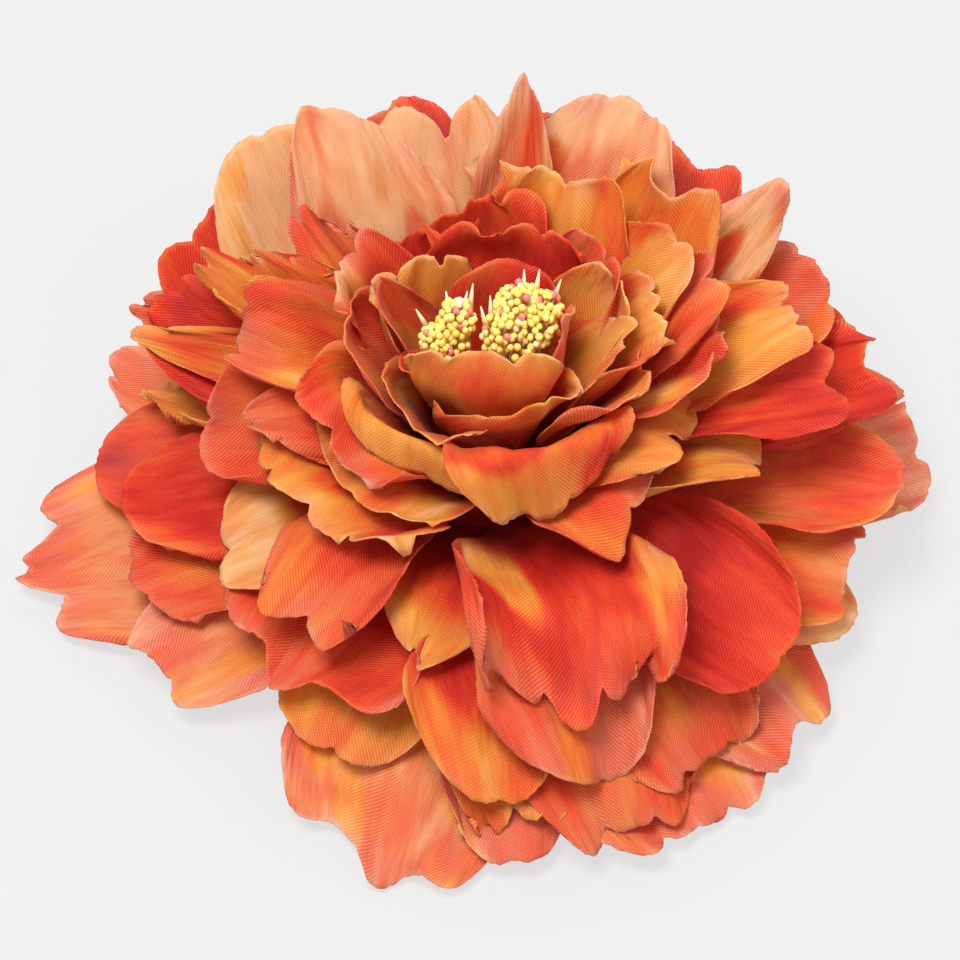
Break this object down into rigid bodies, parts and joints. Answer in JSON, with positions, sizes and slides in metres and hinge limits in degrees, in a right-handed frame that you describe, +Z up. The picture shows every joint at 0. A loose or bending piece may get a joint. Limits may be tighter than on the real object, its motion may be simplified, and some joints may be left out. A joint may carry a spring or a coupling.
{
  "type": "silk peony flower head",
  "caption": "Open artificial peony head of layered fabric petals round a beaded stamen cluster, on a small moulded calyx with a flat foot.",
  "frame": {"origin": "middle of the calyx's flat foot, on the surface that the flower head lies on", "axes": "+Z up along the flower's axis through the stamens; -Y is the side nearest the picture's camera"},
  "size_m": [0.1395, 0.1349, 0.0572],
  "materials": {
    "calyx": "satin moulded green",
    "guard_petals": "woven, peach dyed with rose edges",
    "under_petals": "woven, peach dyed with rose edges",
    "skirt_petals": "woven, coral dyed",
    "flounce_petals": "woven, red dyed with coral edges",
    "apron_petals": "woven, red dyed with mauve ends",
    "rim_petals": "woven, orange dyed with coral edges",
    "outer_petals": "woven, orange and amber dyed",
    "middle_petals": "woven, red and orange dyed",
    "inner_petals": "woven, orange and amber dyed",
    "throat_petals": "woven, coral and orange dyed",
    "crown_petals": "woven, coral and amber dyed",
    "stamen_cluster": "small glossy yellow beads on threads"
  },
  "bodies": {
    "root": {"calyx": "calyx", "guard_petals": "guard_petals", "under_petals": "under_petals", "skirt_petals": "skirt_petals", "flounce_petals": "flounce_petals", "apron_petals": "apron_petals", "rim_petals": "rim_petals", "outer_petals": "outer_petals", "middle_petals": "middle_petals", "inner_petals": "inner_petals", "throat_petals": "throat_petals", "crown_petals": "crown_petals", "stamen_cluster": "stamen_cluster"}
  },
  "joints": []
}
